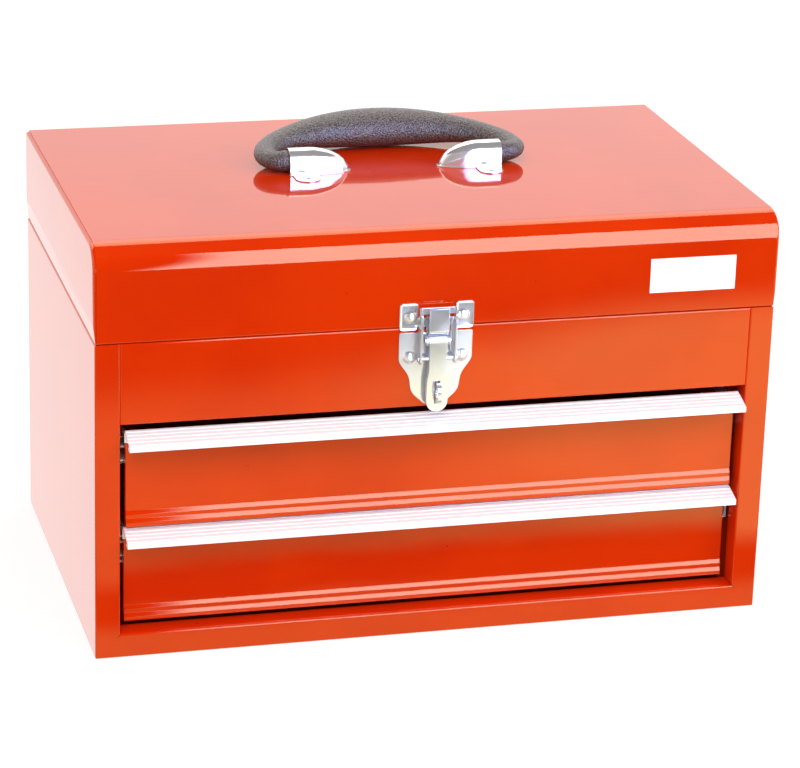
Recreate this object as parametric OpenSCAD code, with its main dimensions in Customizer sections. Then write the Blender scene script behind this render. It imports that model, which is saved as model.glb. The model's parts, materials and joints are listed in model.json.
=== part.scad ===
// A portable steel tool box: a hinged lid over an open compartment, with two drawers
// on ball slides below it, a folding carrying handle and a draw latch.
// Millimetres. The origin is the middle of the base, the front faces -Y and +Z is up.

/* [Box] */
// Width over the lid
box_w = 410; // [340:1:500]
// Depth over the lid
box_d = 250; // [208:1:320]
// Height of the cabinet up to its rim
cabinet_h = 194; // [165:1:240]
// Height of the lid
lid_h = 57.5; // [45:0.5:80]
// Thickness of the sheet steel
sheet = 0.8; // [0.6:0.1:1]
// Inner radius of the tight folds
fold_in = 0.2; // [0.1:0.1:0.6]
// How much wider than its folds the cabinet's lengthwise edges are rounded
edge_extra = 0.2; // [0.15:0.05:0.25]

/* [Cabinet] */
// Width of the front stiles
stile_w = 14.7; // [12:0.1:20]
// Height of the bottom rail
rail_h = 14.5; // [12:0.1:20]
// Height of the fixed panel above the drawers
panel_h = 49; // [46:0.5:60]
// Depth of the fixed panel's flanges
panel_return = 12; // [8:0.5:14]
// Depth of the returns folded back from the stiles and the rail
return_d = 14; // [12:0.5:16]
// Width of the rim and of the back flanges
rim_w = 12; // [8:0.5:14]
// Width of the slit at the mitred bottom corners
mitre_gap = 0.3; // [0.2:0.05:0.5]
// Length of that slit from the inner corner, beyond which the mitre is welded and ground flush
mitre_open = 2.5; // [2:0.5:6]
// Height of the compartment floor's side flanges
floor_flange = 8; // [5:0.5:12]
// Width of the slide posts
post_w = 20; // [14:1:26]

/* [Lid] */
// Radius of the front top edge
lid_front_r = 15; // [6:0.5:16]
// Radius of the back top edge
lid_back_r = 4; // [2:0.5:10]
// Gap between the rim and the lid
lid_gap = 0.5; // [0.3:0.1:1]
// How far the lid stands out past the cabinet at each side
lid_side_proud = 0.8; // [0.4:0.1:1.5]
// How far the lid stands out past the cabinet in front and behind
lid_proud = 0.5; // [0.2:0.1:1]
// Depth of the lid's lower returns
lid_return = 9; // [6:0.5:12]
// Radius of the fold round the end panels
end_fold_r = 2; // [1.5:0.1:3]
// Depth of the end panels' flanges
end_flange = 10; // [6:0.5:14]
// Height of the sloping band at the foot of the end panels
band_h = 12.5; // [8:0.5:16]
// How far that band slopes inwards
band_in = 1.3; // [0.5:0.1:1.5]

/* [Label] */
// Width of the label
label_w = 53; // [30:1:70]
// Height of the label
label_h = 21; // [12:0.5:28]
// Thickness of the label
label_t = 0.3; // [0.2:0.1:0.6]
// Distance from the label to the right end of the lid
label_side = 27; // [15:1:60]
// Distance from the label to the lid's lower edge
label_up = 12.5; // [8:0.5:16]

/* [Drawers] */
// Depth of the recess in front of the drawer fronts
recess = 12.5; // [11:0.5:16]
// Gap at each side of the drawer fronts
side_gap = 4.2; // [3.6:0.1:5]
// Gap under the lower drawer front
bottom_gap = 3.5; // [2:0.1:4]
// Gap between the two drawer fronts
middle_gap = 6; // [6:0.1:7]
// Gap over the upper drawer front
top_gap = 9; // [8:0.5:14]
// How far each of the two steps at the foot of the drawer fronts stands forward
step_d = 0.9; // [0.5:0.1:1.2]
// Height of the upright part of each step
step_low = 2.4; // [2:0.1:4]
// Height of the slope of each step
step_slope = 2.3; // [2:0.1:4]
// Depth of the drawer fronts' side flanges
front_flange = 5; // [4:0.5:6]
// Depth of the drawer fronts' upper and lower flanges
front_return = 8; // [7:0.5:10]
// Height between a drawer front's edge and its tray
tray_inset = 3; // [2.5:0.1:5]
// Height of the hem on the tray walls
hem_h = 4; // [3:0.5:6]
// Clear space behind the trays
tray_back_gap = 14; // [10:0.5:20]
// How far the upper drawer stands open
ajar = 6; // [0:0.5:8]

/* [Pulls] */
// How much further than the drawer front a pull reaches at each side
pull_over = 0.9; // [0:0.1:1.2]
// How far the pull's crest stands in front of the drawer front
crest_y = 3.3; // [3:0.1:5]
// How far the crest stands over the drawer front
crest_z = 4.5; // [4.2:0.1:4.8]
// How far the leaf behind the crest reaches over the drawer front
leaf_y = 5.5; // [4.5:0.1:6.5]
// Depth of the ribbed face
face_d = 15.2; // [12:0.1:18]
// Height of the ribbed face
face_h = 4.6; // [3.5:0.1:5.5]
// Height of the upright lip in front
lip_h = 3.4; // [3.4:0.1:5]
// Depth of the return under the lip
lip_d = 5; // [3:0.1:6]
// Thickness of the aluminium
pull_t = 1.3; // [1:0.1:1.6]
// Number of grooves
grooves = 5; // [3:1:6]
// Width of a groove
groove_w = 0.8; // [0.4:0.1:1]
// Depth of a groove
groove_d = 0.5; // [0.3:0.1:0.7]

/* [Slides] */
// Height of the outer rail
slide_h = 17; // [15:0.5:18]
// Thickness of the closed slide
slide_t = 9.5; // [9:0.1:11]
// Thickness of the rails' steel
gauge = 1.2; // [1:0.1:1.3]
// Distance from a drawer front's top to the middle of its slide
slide_down = 13; // [12:0.5:16]
// Length of rail left together at full travel
slide_overlap = 60; // [50:1:80]
// Gap between the drawer fronts' side flanges and the rails
rail_front_gap = 1; // [0.5:0.1:2]
// Clear length of tray wall behind the rails
rail_back_gap = 15; // [10:1:30]
// Distance of the posts from the ends of the rails
post_inset = 8; // [4:1:20]
// Distance of the tray rivets from the ends of the rails
tray_rivet_inset = 30; // [20:1:50]
// Radius of the rails' flush rivets
rail_rivet_r = 2; // [1.5:0.1:2.5]
// How far the flush rivets' heads lie below the rails' faces
flush = 0.05; // [0.02:0.01:0.2]
// Gap between the outer rail's edges and the tray
channel_gap = 1.5; // [1.2:0.1:2]
// Radius of the balls
ball_r = 1.45; // [1.3:0.05:1.5]
// Clearance round a ball
ball_gap = 0.1; // [0.05:0.01:0.15]
// Depth of the ball race
race_d = 0.25; // [0.2:0.01:0.3]
// Thickness of the ball cage
cage_t = 0.6; // [0.5:0.1:0.6]
// Gap between the cage and the outer rail's web
cage_gap = 0.25; // [0.15:0.05:0.3]
// Distance from a cage to the ends of both rails at full travel
cage_end = 2; // [1:0.5:4]
// Number of balls in one row
balls_in_row = 4; // [3:1:5]

/* [Handle] */
// Distance of the handle to the right of the middle of the lid
handle_x = 2; // [-5:0.5:5]
// Distance of the pivot axis behind the middle of the lid
handle_y = 4; // [-10:1:20]
// Height of the pivot axis over the lid
pivot_h = 7.5; // [7:0.1:9]
// Overall length of the handle
handle_w = 169.5; // [150:0.5:190]
// Distance from the pivot axis to the middle of the grip
grip_reach = 49.6; // [46:0.1:52]
// Gap between the folded grip and the lid
grip_gap = 0.45; // [0.3:0.05:1]
// Width of the grip at its middle, seen from above
grip_w = 29; // [24:0.5:30]
// Thickness of the grip at its middle
grip_t = 23.2; // [20:0.1:24]
// How late the arms swell towards the middle of the grip
swell = 3.9; // [3:0.1:4.5]
// Width of the arms
arm_w = 14; // [13:0.5:15.5]
// Thickness of the arms at the pivot
arm_t = 10.5; // [9.5:0.1:11.5]
// Radius of the elbows between the stubs and the arms
elbow_r = 8; // [8:0.1:10]
// Radius of the pivot stubs
stub_r = 6.3; // [5:0.1:6.3]
// Length of the pivot stubs inside the elbows and the caps
stub_in = 16; // [10:0.5:18]
// Exponent of the arch's outline
arch_n = 2.05; // [2:0.05:2.6]

/* [Handle caps] */
// Outer radius of the caps
cap_r = 7.8; // [7.8:0.1:9]
// Length of the caps
cap_l = 38; // [32:0.5:42]
// Length of the caps' straight part
cap_flat = 12; // [10:0.5:16]
// Thickness of the caps' steel
cap_t = 0.8; // [0.6:0.1:0.8]
// Width of the brim round the caps
brim_w = 1.2; // [0.8:0.1:2]
// Radius of the rivet ears
ear_r = 7.5; // [6:0.1:8]
// Distance of the ear rivets from the pivot axis
ear_y = 15.5; // [14:0.1:18]
// Distance of the ear rivets from the caps' open end
ear_x = 9; // [8:0.1:12]
// Clearance between the arms and the caps
cap_gap = 4.5; // [3:0.1:6]

/* [Latch] */
// Distance of the latch from the middle of the box
latch_x = -4.5; // [-20:0.5:20]
// Thickness of the latch plates
plate_t = 1; // [0.8:0.1:1.2]
// Distance of the latch rivets from the latch's middle
rivet_x = 15.7; // [15.4:0.1:17]
// Distance from the lever's pin down to the base plate's rivets
base_rivet_down = 11; // [9:0.5:12]
// Distance from the lid's edge up to the keeper's rivets
keeper_rivet_up = 6; // [5.5:0.5:8]
// Width of the base plate
base_w = 44; // [42:0.5:48]
// Height of the base plate
base_h = 44; // [42:0.5:44.5]
// Distance from the rim down to the base plate
base_down = 3; // [3:0.1:3.6]
// Height of the base plate's upright sides
shoulder_h = 17.5; // [16.5:0.5:18.5]
// Width of the base plate below its shoulders
base_waist_w = 31; // [28:0.5:33]
// Height of the base plate's sloping shoulders
waist_h = 9; // [8:0.5:10]
// Width of the base plate above its foot
base_hip_w = 28.5; // [26:0.5:30]
// Height of the foot's sloping sides
hip_h = 7.5; // [6:0.5:8]
// Width of the base plate's foot
base_foot_w = 12; // [11:0.5:14]
// Distance from the rim down to the lever's pin
lever_down = 7; // [6:0.5:8]
// Distance of the two pins in front of the panel
pin_out = 4.5; // [4.4:0.1:5]
// Distance from the lever's pin to the bail's pin
throw = 11; // [10.5:0.1:11.5]
// Radius of the lever's pin
lever_pin_r = 1.5; // [1.3:0.1:1.6]
// Radius of the bail's pin
bail_pin_r = 1.3; // [1.1:0.1:1.4]
// Running clearance round the pins
pin_fit = 0.08; // [0.05:0.01:0.1]
// Thickness of the pins' heads
pin_head_t = 0.7; // [0.5:0.1:1]
// How much wider the pins' heads are, all round
pin_head_rim = 0.6; // [0.4:0.1:0.8]
// Outer radius of the lever's barrel
barrel_r = 3; // [2.8:0.1:3.1]
// Length of the lever's barrel
barrel_w = 11.4; // [10.5:0.1:12]
// How far the lever's face lies behind the front of its barrel
face_in = 0.1; // [0.05:0.05:0.3]
// Gap between the barrel and the lugs
lug_gap = 0.3; // [0.3:0.05:0.5]
// Distance from the lever's pin to the lever's tip
lever_l = 43; // [41:0.5:45]
// Width of the lever's neck
neck_w = 10.3; // [9.5:0.1:10.5]
// Distance from the lever's pin to the end of the neck
neck_l = 18; // [16:0.5:19]
// Height of the slope between the neck and the wide part
neck_slope = 7; // [5:0.5:8]
// Width of the lever below the neck
lever_w = 12.7; // [11.5:0.1:14]
// Distance from the lever's pin to the padlock slot
slot_down = 24; // [23.5:0.1:24.5]
// Height of the padlock slot
slot_h = 14; // [13.5:0.1:14.5]
// Gap between the slot's edges and the padlock staple
slot_gap = 1; // [0.9:0.1:1.2]
// Gap between the slot's sides and the padlock staple
staple_gap = 0.5; // [0.3:0.1:1]
// Thickness of the padlock staple
staple_t = 2.4; // [2:0.1:2.6]
// Radius of the staple's corners
staple_r = 4; // [3.5:0.1:5]
// Radius of the padlock hole
padlock_r = 2.4; // [2:0.1:2.4]
// Width of metal in front of the padlock hole
padlock_wall = 1.2; // [1:0.1:1.5]
// Gap between the lever's face and the padlock hole
padlock_gap = 0.5; // [0.3:0.1:1]
// Width over the bail
bail_w = 22; // [22:0.1:23]
// Thickness of the bail
bail_t = 1.2; // [1:0.1:1.4]
// Distance from the bail's pin to its crosspiece
bail_l = 27; // [26:0.1:28]
// Height of the crosspiece
cross_h = 4; // [3.5:0.1:4.2]
// Width of the flanges along the bail arms
bail_flange = 3; // [2:0.1:3]
// Radius of the bail arms' feet
bail_foot_r = 3.4; // [3:0.1:3.6]
// Gap between the bail and what lies beside it
bail_gap = 0.3; // [0.3:0.05:0.5]
// Height of the sloping upper ends of the bail arms
bail_taper = 5; // [3:0.5:6]
// Width over the keeper's wings
keeper_w = 44.5; // [43:0.5:48]
// Height of the keeper's wings
keeper_h = 16.5; // [15:0.5:17.5]
// How far the keeper's wings reach over the gap below the lid
keeper_over = 2; // [1:0.1:2.2]
// Height of the strip that joins the wings
bridge_h = 5.5; // [4:0.5:6]
// Radius of the keeper's corners
wing_r = 2; // [1:0.5:3]
// Width of the hook
hook_w = 12; // [9:0.5:13]
// Thickness of the hook
hook_t = 1.2; // [1:0.1:1.3]
// Distance of the hook's face in front of the pins
hook_front = 3.5; // [3.4:0.1:3.8]
// Radius of the fold under the hook
hook_r = 2.5; // [2:0.1:3]
// How far the hook reaches below the lid's edge
hook_down = 3.2; // [2.8:0.1:3.2]
// Gap under the crosspiece
cross_gap = 1.5; // [1:0.1:2]
// Height of the hook's lip over its shelf
hook_lip = 5.5; // [4:0.1:6]

/* [Hinge] */
// Length of the hinge
hinge_l = 380; // [300:1:390]
// Number of knuckles
knuckles = 19; // [9:2:25]
// Radius of the hinge pin
hinge_pin_r = 1.2; // [1:0.1:1.4]
// Thickness of the hinge leaves
leaf_t = 0.8; // [0.6:0.1:0.8]
// Height of a hinge leaf
leaf_h = 14; // [12:0.5:18]
// Gap between the knuckles, and between them and the box
knuckle_gap = 0.3; // [0.3:0.05:0.5]

/* [Rivets] */
// Radius of the latch rivets' heads
rivet_r = 4; // [3:0.1:4]
// Height of the latch rivets' heads
rivet_h = 2; // [1.2:0.1:2.2]
// Radius of the rivets' shanks
shank_r = 1.6; // [1.2:0.1:2]
// Radius of the small rivets' heads
small_r = 3.2; // [2.8:0.1:3.4]
// Height of the small rivets' heads and of all tails
small_h = 1.2; // [0.8:0.1:1.4]
// How much wider the tails are than the shanks, all round
tail_rim = 0.8; // [0.5:0.1:1]

/* [Hidden] */
$fn = 48;
paint = "orangered";
nickel = "gainsboro";
zinc = "lightsteelblue";

// Folds
fold_r = sheet + fold_in;
edge_r = fold_r + edge_extra;
small_cut = 1;

// Cabinet
cab_x = box_w / 2 - lid_side_proud;
front_y = -(box_d / 2 - lid_proud);
back_y = box_d / 2 - lid_proud;
wrap_y = back_y - sheet;
opening_x = cab_x - stile_w;
opening_top = cabinet_h - panel_h;
floor_z = opening_top + sheet;

// Lid
lid_y = box_d / 2;
lid_z = cabinet_h + lid_gap;
lid_top = lid_z + lid_h;
shell_x = box_w / 2 - end_fold_r;

// Drawers: 0 is the lower one and 1 the upper one
front_h = (opening_top - rail_h - bottom_gap - middle_gap - top_gap) / 2;
pitch = front_h + middle_gap;
drawer_y = front_y + recess;
drawer_x = opening_x - side_gap;
tray_x = opening_x - slide_t;
tray_y = wrap_y - sheet - tray_back_gap;
function front_z(level) = rail_h + bottom_gap + level * pitch;
function open_by(level) = level * ajar;
function slide_z(level) = front_z(level) + front_h - slide_down;

// Slides: u is measured from the post towards the tray, v from the slide's middle
rail_y = drawer_y + front_flange + rail_front_gap;
rail_l = tray_y - rail_back_gap - rail_y;
outer_in_v = slide_h / 2 - gauge;
ball_v = outer_in_v - ball_r + race_d;
inner_v = ball_v - ball_r + race_d;
ball_u = slide_t / 2;
outer_u = slide_t - channel_gap;
inner_u = 2 * gauge;
cage_u = gauge + cage_gap;
cage_end_u = ball_u + ball_r + cage_t + cage_gap;
cage_l = slide_overlap - 2 * cage_end;
travel = rail_l - slide_overlap;
cage_y = rail_y + cage_end + travel / 2;
post_y = [rail_y + post_inset, rail_y + rail_l - post_inset - post_w];
tray_rivet_y = [rail_y + tray_rivet_inset, rail_y + rail_l - tray_rivet_inset];

// Handle and caps
pivot_z = lid_top + pivot_h;
cap_open = handle_w / 2 - arm_w - cap_gap;
elbow_x = handle_w / 2 - arm_w / 2 - elbow_r;
handle_tilt = asin((grip_t / 2 + grip_gap - pivot_h) / grip_reach);

// The handle's centre line: x along the pivot axis and v away from it, then half-width and half-thickness
function elbow_pt(a) = [elbow_x + elbow_r * sin(a), elbow_r * (1 - cos(a))];
function arch_pt(b) = [(elbow_x + elbow_r) * pow(cos(b), 2 / arch_n),
    elbow_r + (grip_reach - elbow_r) * pow(sin(b), 2 / arch_n)];
function arm_half(v) = mix(arm_w, grip_w, pow(v / grip_reach, swell)) / 2;
function arm_thick(v) = mix(arm_t, grip_t, pow(v / grip_reach, swell)) / 2;
elbow_steps = 6;
arch_steps = 18;
ring_n = 24;
neck_r = stub_r - 0.3;
elbow_stations = [for (k = [0 : elbow_steps - 1]) let (p = elbow_pt(90 * k / elbow_steps)) concat(p,
    [mix(neck_r, arm_half(elbow_r), k / elbow_steps), mix(neck_r, arm_thick(elbow_r), k / elbow_steps)])];
arch_stations = [for (k = [0 : arch_steps - 1]) let (p = arch_pt(90 * k / arch_steps))
    concat(p, [arm_half(p[1]), arm_thick(p[1])])];
half_line = concat(elbow_stations, arch_stations);
line = concat(
    [for (s = half_line) [-s[0], s[1], s[2], s[3]]], [[0, grip_reach, grip_w / 2, grip_t / 2]],
    [for (k = [len(half_line) - 1 : -1 : 0]) half_line[k]]);

// Latch: out is measured forwards from the panel's face
lever_pin_z = cabinet_h - lever_down;
bail_pin_z = lever_pin_z - throw;
base_top = cabinet_h - base_down;
base_low = base_top - base_h;
cross_low = bail_pin_z + bail_l;
cross_top = cross_low + cross_h;
cross_out = pin_out - bail_t / 4;
bail_back = pin_out - bail_foot_r * 2 / 3;
shelf_z = cross_low - cross_gap;
hook_out = pin_out + hook_front;
web_out = pin_out + barrel_r - face_in;
wall_out = pin_out - 2 * plate_t;
slot_w = staple_t + 2 * staple_gap;
slot_top = lever_pin_z - slot_down;
slot_low = slot_top - slot_h;
neck_low = lever_pin_z - neck_l;
flare_low = neck_low - neck_slope;
tab_z = lever_pin_z - lever_l;
staple_top = slot_top - slot_gap;
staple_low = slot_low + slot_gap;
staple_z = (staple_top + staple_low) / 2;
padlock_out = web_out + padlock_r + padlock_gap;
base_rivet_z = lever_pin_z - base_rivet_down;
keeper_rivet_z = lid_z + keeper_rivet_up;
wing_in = bail_w / 2 + bail_gap;

// Hinge
knuckle_r = hinge_pin_r + pin_fit + leaf_t;
axis_y = lid_y + knuckle_gap + knuckle_r;
axis_z = cabinet_h + lid_gap / 2;
knuckle_l = hinge_l / knuckles;
leaf_clear = knuckle_r + knuckle_gap;
hinge_rivets = 6;

// ---------------------------------------------------------------- helpers

// Sections run along an axis: (Y, Z) along X, (X, Z) along Y and (X, Y) along Z
module along_x(x0, x1) translate([x0, 0, 0]) rotate([90, 0, 90]) linear_extrude(x1 - x0) children();
module along_y(y0, y1) translate([0, y1, 0]) rotate([90, 0, 0]) linear_extrude(y1 - y0) children();
module along_z(z0, z1) translate([0, 0, z0]) linear_extrude(z1 - z0) children();

// The same piece on the left as drawn, or mirrored to the right
module on_side(side) {
    if (side == "left") children();
    else mirror([1, 0, 0]) children();
}

function xy(p) = [p[0], p[1]];
function unit(d) = d / norm(d);
function mix(a, b, k) = a + (b - a) * k;
function corner_r(p) = len(p) > 2 ? p[2] : fold_r;
function heading(c, i) = let (d = xy(c[i + 1]) - xy(c[i])) atan2(d[1], d[0]);
function turn(c, i) = let (d = heading(c, i) - heading(c, i - 1)) d > 180 ? d - 360 : d < -180 ? d + 360 : d;
function is_end(c, i) = i == 0 || i == len(c) - 1;
function trim(c, i, t) = is_end(c, i) ? 0 :
    (turn(c, i) > 0 ? corner_r(c[i]) : corner_r(c[i]) - t) * tan(abs(turn(c, i)) / 2);

// The section of a folded sheet: corners are those of the line that it lies to the left of,
// and a third number is the outer radius of that fold
module folded(corners, t = sheet) {
    last = len(corners) - 1;
    for (i = [0 : last - 1]) {
        length = norm(xy(corners[i + 1]) - xy(corners[i])) - trim(corners, i, t) - trim(corners, i + 1, t);
        translate(xy(corners[i])) rotate(heading(corners, i)) translate([trim(corners, i, t), 0])
            square([length, t]);
    }
    for (i = [1 : 1 : last - 1]) {
        bend = turn(corners, i);
        r = corner_r(corners[i]);
        translate(xy(corners[i])) rotate(heading(corners, i - 1))
            translate([-trim(corners, i, t), bend > 0 ? r : t - r]) fold_arc(r, t, bend);
    }
}

module fold_arc(r, t, bend) {
    start = bend > 0 ? -90 : 90;
    intersection() {
        difference() {
            circle(r);
            circle(r - t);
        }
        polygon(concat([[0, 0]], [for (a = [start, start + bend / 2, start + bend]) 2 * r * [cos(a), sin(a)]]));
    }
}

// The point on the inner face of a strip of thickness t that follows the corners, mitred at the corner i
function inner_pt(c, i, t) = let (
        bend = is_end(c, i) ? 0 : turn(c, i),
        way = (i == len(c) - 1 ? heading(c, i - 1) : heading(c, i)) - bend / 2 + 90)
    xy(c[i]) + t / cos(bend / 2) * [cos(way), sin(way)];

// An outline with its corners rounded: a third number is a corner's radius
function rounded(outline, steps = 4) = let (n = len(outline))
    [for (i = [0 : n - 1]) each corner_arc(outline[(i + n - 1) % n], outline[i], outline[(i + 1) % n], steps)];
function corner_arc(a, b, c, steps) = len(b) < 3 ? [b] :
    let (
        u = unit(xy(a) - xy(b)), v = unit(xy(c) - xy(b)), half = acos(u * v) / 2,
        middle = xy(b) + unit(u + v) * b[2] / sin(half),
        first = xy(b) + u * b[2] / tan(half) - middle, last = xy(b) + v * b[2] / tan(half) - middle,
        start = atan2(first[1], first[0]), sweep = atan2(last[1], last[0]) - start,
        bend = sweep > 180 ? sweep - 360 : sweep < -180 ? sweep + 360 : sweep)
    [for (k = [0 : steps]) middle + b[2] * [cos(start + bend * k / steps), sin(start + bend * k / steps)]];

// A rectangle from the origin whose two corners at y = 0 are rounded
module eased(w, d, r) {
    translate([r, 0]) square([w - 2 * r, d]);
    translate([0, r]) square([w, d - r]);
    for (x = [r, w - r]) translate([x, r]) circle(r);
}

// A sheet pan: a face at y with its four edges folded back
module pan(half_w, z0, z1, y, depth) {
    difference() {
        intersection() {
            along_z(z0, z1) translate([-half_w, y]) eased(2 * half_w, depth, fold_r);
            along_x(-half_w, half_w) translate([y, z1]) rotate(-90) eased(z1 - z0, depth, fold_r);
        }
        translate([-half_w + sheet, y + sheet, z0 + sheet])
            cube([2 * (half_w - sheet), depth, z1 - z0 - 2 * sheet]);
    }
}

module dome(r, h) {
    ball = (r * r + h * h) / (2 * h);
    intersection() {
        translate([0, 0, h - ball]) sphere(ball);
        cylinder(r = r, h = h + small_cut);
    }
}

// A rivet whose domed head sits on z = 0 and whose tail holds the far side of the plates
module rivet(head_r, head_h, plates) {
    dome(head_r, head_h);
    translate([0, 0, -plates]) cylinder(r = shank_r, h = plates);
    translate([0, 0, -plates - small_h]) cylinder(r = shank_r + tail_rim, h = small_h);
}

module facing_front() rotate([90, 0, 0]) children();
module facing_back() rotate([-90, 0, 0]) children();

// ---------------------------------------------------------------- cabinet

// One side of the wrap, drawn for the left, down to the mitre
module side_channel() {
    intersection() {
        along_z(0, cabinet_h) folded([
            [-cab_x + rim_w, wrap_y], [-cab_x, wrap_y], [-cab_x, front_y],
            [-opening_x, front_y], [-opening_x, front_y + return_d]]);
        along_y(front_y, wrap_y) polygon([
            [-cab_x, 0], [-opening_x, rail_h], [-opening_x, cabinet_h], [-cab_x, cabinet_h]]);
    }
    translate([-cab_x, front_y + sheet, cabinet_h - sheet])
        cube([rim_w, wrap_y - front_y - sheet, sheet]);
}

module bottom_channel() {
    intersection() {
        along_x(-cab_x, cab_x) folded([
            [front_y + return_d, rail_h], [front_y, rail_h], [front_y, 0],
            [wrap_y, 0], [wrap_y, rim_w]]);
        along_y(front_y, wrap_y) polygon([
            [-cab_x, 0], [cab_x, 0], [opening_x, rail_h], [-opening_x, rail_h]]);
    }
}

// The cut between the stile's flange and the rail's at the inner corner
module mitre_slit() {
    along_y(front_y - small_cut, front_y + return_d + small_cut)
        translate([-opening_x, rail_h]) rotate(atan2(rail_h, stile_w)) translate([-mitre_open, -mitre_gap / 2])
            square([mitre_open + stile_w, mitre_gap]);
}

// The relief where the folds of the base, a side and the back meet
module fold_relief() {
    relief = 2 * fold_r;
    translate([-cab_x - small_cut, wrap_y - relief, -small_cut])
        cube([relief + small_cut, relief + small_cut, relief + small_cut]);
}

// The rounded lengthwise edges of the wrap
module wrap_outline() {
    for (y = [edge_r, cabinet_h - edge_r], x = [-1, 1]) translate([x * (cab_x - edge_r), y]) circle(edge_r);
    translate([-cab_x, edge_r]) square([2 * cab_x, cabinet_h - 2 * edge_r]);
    translate([-cab_x + edge_r, 0]) square([2 * (cab_x - edge_r), cabinet_h]);
}

module cabinet_wrap() {
    color(paint) difference() {
        intersection() {
            union() {
                for (side = ["left", "right"]) on_side(side) side_channel();
                bottom_channel();
            }
            along_y(front_y, wrap_y) wrap_outline();
        }
        for (side = ["left", "right"]) on_side(side) {
            mitre_slit();
            fold_relief();
        }
    }
}

module back_panel() {
    color(paint) difference() {
        translate([-cab_x + fold_r, wrap_y, fold_r]) cube([2 * (cab_x - fold_r), sheet, cabinet_h - fold_r]);
        hinge_rivet_holes(axis_z - leaf_clear - leaf_h / 2);
    }
}

module upper_front_panel() {
    color(paint) difference() {
        pan(opening_x, opening_top, cabinet_h, front_y, panel_return);
        at_base_rivets() latch_rivet_hole();
    }
}

module compartment_floor() {
    floor_x = cab_x - sheet;
    tongue_y = front_y + fold_r;
    color(paint) {
        along_y(front_y + return_d, wrap_y - sheet) folded([
            [-floor_x, floor_z + floor_flange], [-floor_x, floor_z],
            [floor_x, floor_z], [floor_x, floor_z + floor_flange]]);
        translate([-opening_x + sheet, tongue_y, floor_z])
            cube([2 * (opening_x - sheet), front_y + return_d - tongue_y, sheet]);
    }
}

// An upright channel that carries the outer rails, welded to the side wall
module slide_post(side, y) {
    color(paint) on_side(side) difference() {
        along_z(sheet, floor_z) translate([0, y]) folded([
            [-cab_x + sheet, 0], [-opening_x, 0], [-opening_x, post_w], [-cab_x + sheet, post_w]]);
        for (level = [0, 1]) translate([-opening_x, y + post_w / 2, slide_z(level)]) rail_rivet_hole();
    }
}

// ---------------------------------------------------------------- slides

module rail_rivet_hole() {
    translate([-slide_t, 0, 0]) rotate([0, 90, 0]) cylinder(r = rail_rivet_r, h = 3 * slide_t);
}

// A rail, cage or ball row of the slide at this level, from its (u, v) section
module slide_run(side, level, y, length) {
    on_side(side) translate([-opening_x, 0, slide_z(level)]) along_y(y, y + length) children();
}

// A piece of a drawer that stands open by this much
module drawn_out(out) translate([0, -out, 0]) children();

module races() for (v = [-ball_v, ball_v]) translate([ball_u, v]) circle(ball_r + ball_gap);

module outer_rail(side, level) {
    color(zinc) difference() {
        slide_run(side, level, rail_y, rail_l) difference() {
            translate([0, -slide_h / 2]) square([outer_u, slide_h]);
            translate([gauge, -outer_in_v]) square([outer_u, 2 * outer_in_v]);
            races();
        }
        for (y = post_y)
            on_side(side) translate([-opening_x, y + post_w / 2, slide_z(level)]) rail_rivet_hole();
    }
}

module inner_rail(side, level) {
    color(zinc) drawn_out(open_by(level)) difference() {
        slide_run(side, level, rail_y, rail_l) difference() {
            translate([inner_u, -inner_v]) square([slide_t - inner_u, 2 * inner_v]);
            translate([0, gauge - inner_v]) square([slide_t - gauge, 2 * (inner_v - gauge)]);
            races();
        }
        for (y = tray_rivet_y) on_side(side) translate([-opening_x, y, slide_z(level)]) rail_rivet_hole();
    }
}

function ball_ys() = [for (k = [0 : balls_in_row - 1]) cage_y + cage_l * (k + 0.5) / balls_in_row];

module ball_cage(side, level) {
    color("goldenrod") drawn_out(open_by(level) / 2) difference() {
        slide_run(side, level, cage_y, cage_l) difference() {
            translate([cage_u, -ball_v - cage_t / 2]) square([cage_end_u - cage_u, 2 * ball_v + cage_t]);
            translate([cage_u + cage_t, -ball_v + cage_t / 2]) square([slide_t, 2 * ball_v - cage_t]);
        }
        for (y = ball_ys()) on_side(side) translate([-opening_x + ball_u, y, slide_z(level) - slide_h / 2])
            cylinder(r = ball_r + ball_gap, h = slide_h);
    }
}

module slide_balls(level) {
    color("silver") drawn_out(open_by(level) / 2)
        for (side = ["left", "right"], y = ball_ys(), v = [-ball_v, ball_v])
            on_side(side) translate([-opening_x + ball_u, y, slide_z(level) + v]) sphere(ball_r);
}

// A rivet that lies flush in a rail's web, with its tail behind the plate that carries the rail
module flush_rivet() {
    rotate([0, 90, 0]) {
        translate([0, 0, -sheet]) cylinder(r = rail_rivet_r, h = sheet + gauge - flush);
        translate([0, 0, -sheet - small_h]) cylinder(r = rail_rivet_r + tail_rim, h = small_h);
    }
}

module outer_rail_rivets() {
    color(zinc) for (side = ["left", "right"], level = [0, 1], y = post_y)
        on_side(side) translate([-opening_x, y + post_w / 2, slide_z(level)]) flush_rivet();
}

module inner_rail_rivets(level) {
    color(zinc) drawn_out(open_by(level)) for (side = ["left", "right"], y = tray_rivet_y)
        on_side(side) translate([-tray_x, y, slide_z(level)]) mirror([1, 0, 0]) flush_rivet();
}

// ---------------------------------------------------------------- drawers

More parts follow.
